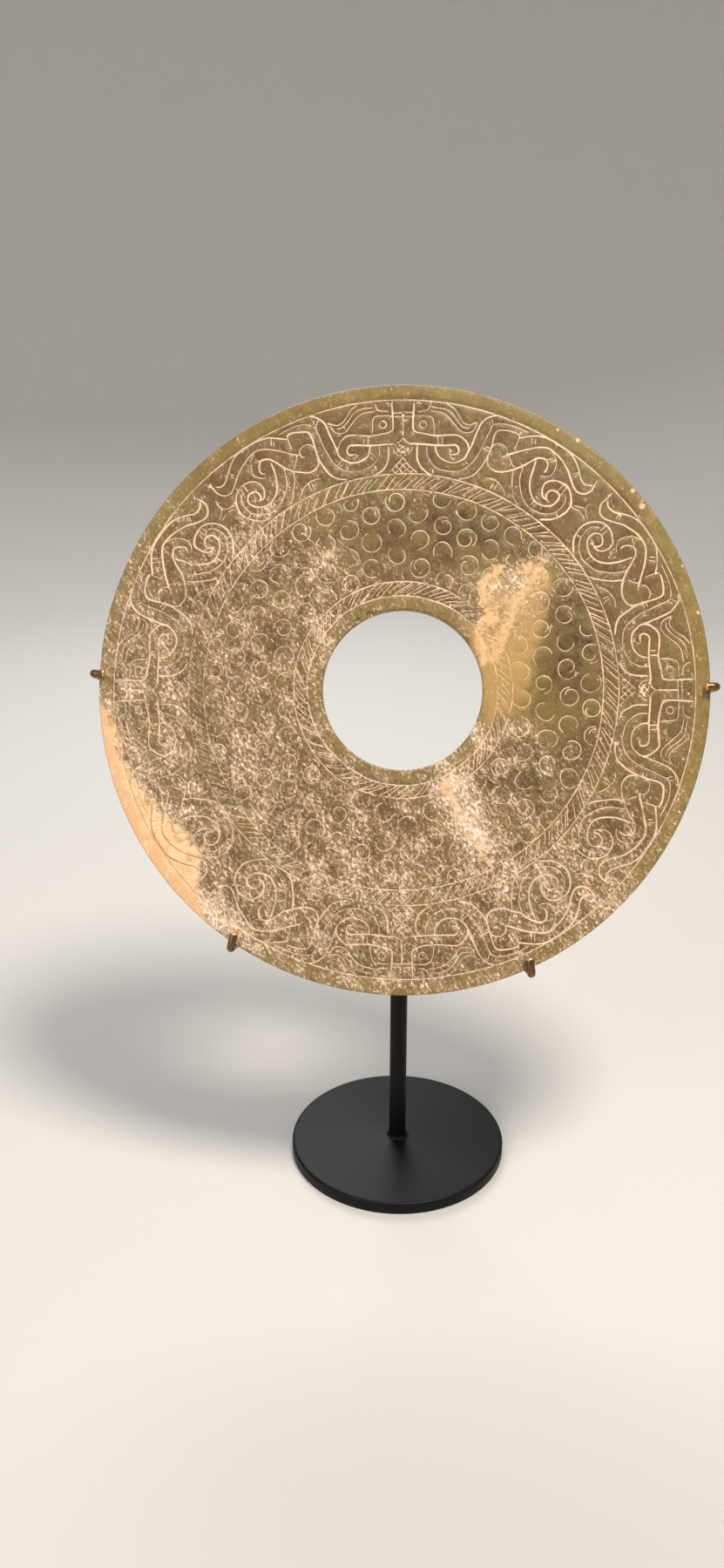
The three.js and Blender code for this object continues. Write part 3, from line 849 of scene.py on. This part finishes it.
def stone_shares(add, noise):
    """How much of each finish there is: the patina on the mesh, broken up by the patterns."""
    on_stone = {name: add("ShaderNodeAttribute", {}, "Fac", attribute_name=name)
                for name in ("cut", "flecks", "bleached", "clear")}
    on_stone["patchy"] = add("ShaderNodeMath", {
        0: noise["clusters"], 1: CLUSTER_WEIGHT, 2: on_stone["flecks"]}, operation="MULTIPLY_ADD")
    ranges = {name: (noise[pattern], *limits) for name, (pattern, *limits) in PATTERN_SHARES.items()}
    for name, (follows, strength, pattern, *limits) in PATINA_SHARES.items():
        value = add("ShaderNodeMath", {0: on_stone[follows], 1: strength, 2: noise[pattern]},
                    operation="MULTIPLY_ADD")
        ranges[name] = (value, *limits)
    share = {}
    for name, (value, none, full, most) in ranges.items():
        share[name] = add("ShaderNodeMapRange", {"Value": value, "From Min": none, "From Max": full,
                                                 "To Max": most}, interpolation_type="SMOOTHSTEP")
    return share


def stone_colour(add, share):
    """The finishes laid over each other, from the body of the stone outwards."""
    tint = {}
    for name, (follows, low, high) in STONE_TINTS.items():
        below = tint[low] if low in tint else linear(low)
        tint[name] = add("ShaderNodeMix", {SHARE: share[follows], BELOW: below, ABOVE: linear(high)}, MIXED,
                         data_type="RGBA")
    colour = linear(STONE_BODY)
    for name, over in STONE_LAYERS.items():
        above = tint[over] if over in tint else linear(over)
        colour = add("ShaderNodeMix", {SHARE: share[name], BELOW: colour, ABOVE: above}, MIXED,
                     data_type="RGBA")
    return colour


def polished_jade():
    """Nephrite, sawn, wheel-carved and polished, then long buried: a waxy olive-brown body, clearer and
    yellower in places, with white flecks, bleached cream patches and pale deposit in the carved lines."""
    material, add = new_material("nephrite_jade_polished")
    noise = stone_patterns(add)
    share = stone_shares(add, noise)
    matt = add("ShaderNodeMath", {0: share["core"], 1: share["bleached"]}, operation="MAXIMUM")
    rough = add("ShaderNodeMath", {0: matt, 1: CHALKY, 2: WAXY}, operation="MULTIPLY_ADD")
    height = add("ShaderNodeMath", {0: share["core"], 1: FLECKS_PITTED, 2: noise["fine"]},
                 operation="MULTIPLY_ADD")
    bump = add("ShaderNodeBump", {"Strength": 0.4, "Distance": 0.12 * MM, "Height": height})
    shader = add("ShaderNodeBsdfPrincipled", {
        "Base Color": stone_colour(add, share), "Roughness": rough, "IOR": 1.61, "Specular IOR Level": 0.36,
        "Normal": bump, "Subsurface Weight": 0.15, "Subsurface Scale": 1.5 * MM,
        "Subsurface Radius": (1.0, 0.8, 0.4)})
    add("ShaderNodeOutputMaterial", {"Surface": shader})
    return material


def speckled(name, size, low, high, **finish):
    """A material whose colour wanders between two tints, with a faint unevenness in its sheen."""
    material, add = new_material(name)
    place = add("ShaderNodeTexCoord", {}, "Object")
    noise = add("ShaderNodeTexNoise", {"Vector": place, "Scale": per_mm(size), "Detail": 4.0})
    colour = add("ShaderNodeMix", {SHARE: noise, BELOW: linear(low), ABOVE: linear(high)}, MIXED,
                 data_type="RGBA")
    bump = add("ShaderNodeBump", {"Strength": 0.12, "Distance": 0.1 * MM, "Height": noise})
    shader = add("ShaderNodeBsdfPrincipled", {"Base Color": colour, "Normal": bump, **finish})
    add("ShaderNodeOutputMaterial", {"Surface": shader})
    return material


def browned_brass():
    """Drawn brass rod, brazed and chemically browned: a brown skin, thin and warmer along the rod."""
    return speckled("brass_rod_browned", 3.0, "#4a3320", "#96714a", Metallic=0.85, Roughness=0.38)


def cut_brass():
    """The sawn and filed end of a brass rod: bright yellow metal, a little dulled by the file."""
    return speckled("brass_cut_end", 0.6, "#c99a63", "#f0cf9f", Metallic=0.9, Roughness=0.42)


def black_paint():
    """Satin black paint sprayed on steel: near black, with a faint orange-peel texture in its sheen."""
    return speckled("steel_black_satin_paint", 0.9, "#020203", "#050507", Roughness=0.5,
                    **{"Specular IOR Level": 0.2})


def pale_floor():
    """Matt pale paper, plain and even."""
    material, add = new_material("paper_pale_matt")
    shader = add("ShaderNodeBsdfPrincipled", {"Base Color": linear("#c8c6c2"), "Roughness": 0.95})
    add("ShaderNodeOutputMaterial", {"Surface": shader})
    return material


# Pieces

def new_piece(name, mesh, materials, node):
    """A piece that stands for a node, with its materials."""
    piece = bpy.data.objects.new(name, mesh)
    bpy.context.scene.collection.objects.link(piece)
    for material in materials:
        mesh.materials.append(material)
    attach(piece, "root")
    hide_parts(node)
    return piece


def disc_frame():
    """From the disc's own plane, in metres, to the part's frame."""
    return Matrix.Translation(FACE_CENTRE) @ Matrix.Rotation(math.pi / 2 - DISC_LEAN, 4, "X")


def turned(profile, sides):
    """Points and faces of a shape turned about Z from (radius, height) pairs, closed on the axis."""
    points, faces, rows = [], [], []
    for radius, height in profile:
        stations = sides if radius > 0 else 1
        rows.append([len(points) + i for i in range(stations)] * (sides // stations))
        for i in range(stations):
            angle = 2 * math.pi * i / sides
            points.append(Vector((radius * math.cos(angle), radius * math.sin(angle), height)))
    for low, high in zip(rows, rows[1:]):
        for i in range(sides):
            corners = (low[i], low[i - sides + 1], high[i - sides + 1], high[i])
            faces.append(tuple(dict.fromkeys(corners)))
    return points, faces


def arc(radius, height, size, start, stop, steps=6):
    """A quarter or other stretch of a small circle, as (radius, height) pairs."""
    angles = np.radians(np.linspace(start, stop, steps))
    return [(radius + size * math.cos(a), height + size * math.sin(a)) for a in angles]


def smooth_mesh(name, points, faces):
    """A mesh of turned or bent metal, smooth but for its creases."""
    mesh = bpy.data.meshes.new(name)
    mesh.from_pydata(points, [], faces)
    mesh.shade_smooth()
    mesh.set_sharp_from_angle(angle=METAL_CREASE)
    return mesh


def bent_rod(corners):
    """Points and faces of a round rod along straight stretches with rounded bends and a filed end, and how
    many of the last faces are that end."""
    corners = [Vector(c) for c in corners]
    line = [corners[0]]
    for before, corner, after in zip(corners, corners[1:], corners[2:]):
        start = corner + (before - corner).normalized() * BEND_RADIUS
        stop = corner + (after - corner).normalized() * BEND_RADIUS
        for step in range(BEND_STEPS + 1):
            share = step / BEND_STEPS
            line.append(start.lerp(corner, share).lerp(corner.lerp(stop, share), share))
    tip = corners[-1]
    inward = (line[-1] - tip).normalized()
    line += [tip + inward * back for back, _ in ROD_TIP]
    sizes = [ROD_RADIUS] * (len(line) - len(ROD_TIP)) + [ROD_RADIUS - less for _, less in ROD_TIP]
    points = []
    across = None
    for index, (place, size) in enumerate(zip(line, sizes)):
        ahead = (line[min(index + 1, len(line) - 1)] - line[max(index - 1, 0)]).normalized()
        across = ahead.orthogonal() if across is None else across - ahead * across.dot(ahead)
        across.normalize()
        beside = ahead.cross(across)
        for side in range(ROD_SIDES):
            angle = 2 * math.pi * side / ROD_SIDES
            points.append(place + (across * math.cos(angle) + beside * math.sin(angle)) * size)
    faces = [tuple(range(ROD_SIDES - 1, -1, -1))]
    for row in range(len(line) - 1):
        for side in range(ROD_SIDES):
            a, b = row * ROD_SIDES + side, row * ROD_SIDES + (side + 1) % ROD_SIDES
            faces.append((a, b, b + ROD_SIDES, a + ROD_SIDES))
    faces.append(tuple(range((len(line) - 1) * ROD_SIDES, len(line) * ROD_SIDES)))
    return points, faces, (len(ROD_TIP) - 1) * ROD_SIDES + 1


def jade_disc():
    """The carved disc, leaning back as its frame does."""
    piece = new_piece("carved_jade_disc", disc_mesh(), [polished_jade()], "jade_disc")
    piece.matrix_world = disc_frame()


def mount_claws():
    """The collar and four rods, each bent round the disc's edge to a cut tip over its face."""
    to_part = disc_frame()
    behind = -DISC_THICKNESS - GAP - ROD_RADIUS
    in_front = GAP + ROD_RADIUS
    hub = to_part.inverted() @ Vector((0, 0, HUB_HEIGHT * MM)) / MM
    points, faces, ends = [], [], []
    for claw in CLAWS:
        x, y = on_disc(claw["rim"], DISC_RADIUS + GAP + ROD_RADIUS)
        dx, dy = on_disc(claw["points"], claw["reach"] + GAP + ROD_RADIUS)
        corners = [(hub.x, hub.y, behind), (x, y, behind), (x, y, in_front), (x + dx, y + dy, in_front)]
        rod_points, rod_faces, bright = bent_rod(corners)
        faces += [tuple(i + len(points) for i in face) for face in rod_faces]
        ends += range(len(faces) - bright, len(faces))
        points += [to_part @ (p * MM) for p in rod_points]
    socket = POST_RADIUS + GAP
    profile = [(0, COLLAR_BASE + SOCKET_DEPTH), (socket, COLLAR_BASE + SOCKET_DEPTH),
               (socket, COLLAR_BASE + SOCKET_EDGE), (socket + SOCKET_EDGE, COLLAR_BASE),
               *arc(COLLAR_RADIUS - COLLAR_EDGE, COLLAR_BASE + COLLAR_EDGE, COLLAR_EDGE, -90, 0, steps=4),
               *arc(COLLAR_RADIUS - COLLAR_DOME, COLLAR_SHOULDER, COLLAR_DOME, 0, 80),
               (0, COLLAR_SHOULDER + COLLAR_DOME)]
    collar_points, collar_faces = turned(profile, COLLAR_SIDES)
    faces += [tuple(i + len(points) for i in face) for face in collar_faces]
    points += [p * MM for p in collar_points]
    mesh = smooth_mesh("mount_claws_brazed", points, faces)
    new_piece("brazed_claw_mount", mesh, [browned_brass(), cut_brass()], "mount_claws")
    for end in ends:
        mesh.polygons[end].material_index = 1


def support_post():
    """The post welded to its round foot, with the weld dressed to a small fillet."""
    top = COLLAR_BASE + SOCKET_DEPTH - GAP
    profile = [(0, 0),
               *arc(FOOT_RADIUS - FOOT_UNDER_EDGE, FOOT_UNDER_EDGE, FOOT_UNDER_EDGE, -90, 0, steps=4),
               *arc(FOOT_RADIUS - FOOT_EDGE, FOOT_THICKNESS - FOOT_EDGE, FOOT_EDGE, 0, 90),
               *reversed(arc(POST_RADIUS + WELD, FOOT_THICKNESS + WELD, WELD, 180, 270)),
               *arc(POST_RADIUS - POST_EDGE, top - POST_EDGE, POST_EDGE, 0, 90, steps=4), (0, top)]
    points, faces = turned(profile, FOOT_SIDES)
    mesh = smooth_mesh("support_post_welded", [p * MM for p in points], faces)
    new_piece("welded_post_and_foot", mesh, [black_paint()], "support_post")


# Stage

def round_sweep():
    """A pale round floor that curves up on every side."""
    flat, curve_from, curve, top, sides = SWEEP.values()
    profile = [(0, 0), (flat, 0), *arc(curve_from, curve, curve, -90, 0, steps=17),
               (curve_from + curve, top)]
    points, faces = turned(profile, sides)
    mesh = bpy.data.meshes.new("round_sweep")
    mesh.from_pydata(points, [], faces)
    mesh.shade_smooth()
    mesh.materials.append(pale_floor())
    floor = bpy.data.objects.new("round_sweep", mesh)
    bpy.context.scene.collection.objects.link(floor)


def soft_light(name, place, size, power, colour):
    """A round soft box that faces the disc and isn't itself seen."""
    lamp = bpy.data.lights.new(name, "AREA")
    lamp.shape = "DISK"
    lamp.size = size
    lamp.energy = power
    lamp.color = linear(colour)[:3]
    light = bpy.data.objects.new(name, lamp)
    light.location = place
    light.rotation_euler = (FACE_CENTRE - light.location).to_track_quat("-Z", "Y").to_euler()
    light.visible_camera = False
    bpy.context.scene.collection.objects.link(light)


def studio():
    """The lights, the pale air around them, and colours shown as they are."""
    for name, settings in LIGHTS.items():
        soft_light(name, *settings)
    world = bpy.data.worlds.new("studio_air")
    world.use_nodes = True
    air = world.node_tree.nodes["Background"]
    air.inputs["Color"].default_value = linear(AIR_COLOUR)
    air.inputs["Strength"].default_value = AIR_STRENGTH
    bpy.context.scene.world = world
    bpy.context.scene.view_settings.view_transform = "Standard"


def photo_camera():
    """A camera placed so that the disc's middle and size fall where the photograph has them."""
    focal = LENS / SENSOR * PHOTO_SIZE[1]
    distance = DISC_RADIUS * MM * focal / DISC_PIXEL_RADIUS
    right = (DISC_PIXEL[0] - PHOTO_SIZE[0] / 2) / focal * distance
    up = (PHOTO_SIZE[1] / 2 - DISC_PIXEL[1]) / focal * distance
    turn = Euler((math.pi / 2 - CAMERA_TILT, 0, CAMERA_TURN)).to_matrix()
    data = bpy.data.cameras.new("photo_camera")
    data.sensor_width = SENSOR
    data.lens = LENS
    data.clip_start = 0.01
    camera = bpy.data.objects.new("photo_camera", data)
    camera.location = FACE_CENTRE - turn @ Vector((right, up, -distance))
    camera.rotation_euler = turn.to_euler()
    bpy.context.scene.collection.objects.link(camera)
    bpy.context.scene.camera = camera


photo_camera()
round_sweep()
studio()
jade_disc()
mount_claws()
support_post()

bpy.context.view_layer.update()
